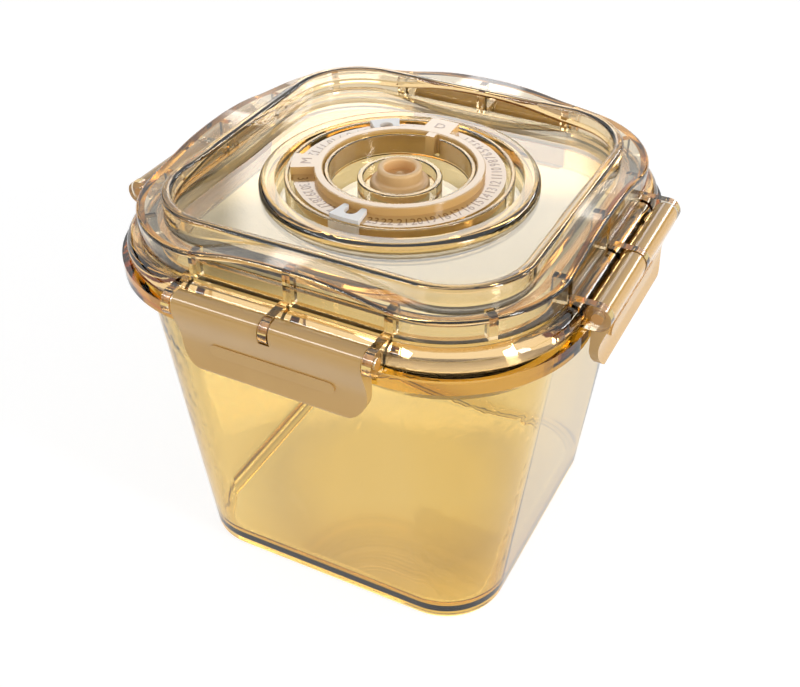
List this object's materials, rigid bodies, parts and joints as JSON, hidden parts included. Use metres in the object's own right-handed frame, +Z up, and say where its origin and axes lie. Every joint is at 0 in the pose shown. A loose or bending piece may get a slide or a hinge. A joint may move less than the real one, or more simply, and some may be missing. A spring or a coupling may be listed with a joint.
{
  "type": "vacuum seal canister",
  "caption": "Square drafted food canister in clear amber plastic with a vacuum lid, side latches, a date dial and a silicone pump valve.",
  "frame": {"origin": "centre of the base, on the surface that the canister stands on", "axes": "+Z up; the four latches face -Y (front), +X, +Y and -X; the dial's day block points to +Y"},
  "size_m": [0.1416, 0.1416, 0.1177],
  "materials": {
    "clear_tub": "clear amber copolyester, polished mould",
    "clear_lid": "clear pale amber copolyester, polished mould",
    "clear_silicone": "translucent silicone",
    "beige_latch": "beige ABS, satin mould",
    "beige_pin": "beige acetal rod",
    "beige_dial": "beige ABS, fine matt",
    "white_slider": "white polypropylene",
    "beige_silicone": "beige silicone, matt"
  },
  "bodies": {
    "container": {"container": "clear_tub"},
    "lid": {"lid_shell": "clear_lid", "seal_carrier": "clear_lid", "lid_gasket": "clear_silicone", "date_dial": "beige_dial", "latch_pin_right": "beige_pin", "latch_pin_back": "beige_pin", "latch_pin_left": "beige_pin", "latch_pin_front": "beige_pin"},
    "day_slider": {"day_slider": "white_slider"},
    "month_slider": {"month_slider": "white_slider"},
    "valve": {"valve_plug": "beige_silicone"},
    "latch_right": {"latch_right": "beige_latch"},
    "latch_back": {"latch_back": "beige_latch"},
    "latch_left": {"latch_left": "beige_latch"},
    "latch_front": {"latch_front": "beige_latch"}
  },
  "joints": [
    {"name": "lid_lift", "type": "slide", "parent": "container", "child": "lid", "axis": [0, 0, 1], "range_m": [0, 0.06]},
    {"name": "latch_right_swing", "type": "hinge", "parent": "lid", "child": "latch_right", "pos_m": [0.0673, 0, 0.1049], "axis": [0, -1, 0], "range_deg": [0, 115]},
    {"name": "latch_back_swing", "type": "hinge", "parent": "lid", "child": "latch_back", "pos_m": [0, 0.0673, 0.1049], "axis": [1, 0, 0], "range_deg": [0, 115]},
    {"name": "latch_left_swing", "type": "hinge", "parent": "lid", "child": "latch_left", "pos_m": [-0.0673, 0, 0.1049], "axis": [0, 1, 0], "range_deg": [0, 115]},
    {"name": "latch_front_swing", "type": "hinge", "parent": "lid", "child": "latch_front", "pos_m": [0, -0.0673, 0.1049], "axis": [-1, 0, 0], "range_deg": [0, 115]},
    {"name": "day_slider_turn", "type": "hinge", "parent": "lid", "child": "day_slider", "pos_m": [0, 0, 0.113], "axis": [0, 0, 1], "range_deg": [-49, 161]},
    {"name": "month_slider_turn", "type": "hinge", "parent": "lid", "child": "month_slider", "pos_m": [0, 0, 0.113], "axis": [0, 0, 1], "range_deg": [-16, 58]},
    {"name": "valve_lift", "type": "slide", "parent": "lid", "child": "valve", "axis": [0, 0, 1], "range_m": [0, 0.0015], "stiffness_N_per_m": 300}
  ]
}
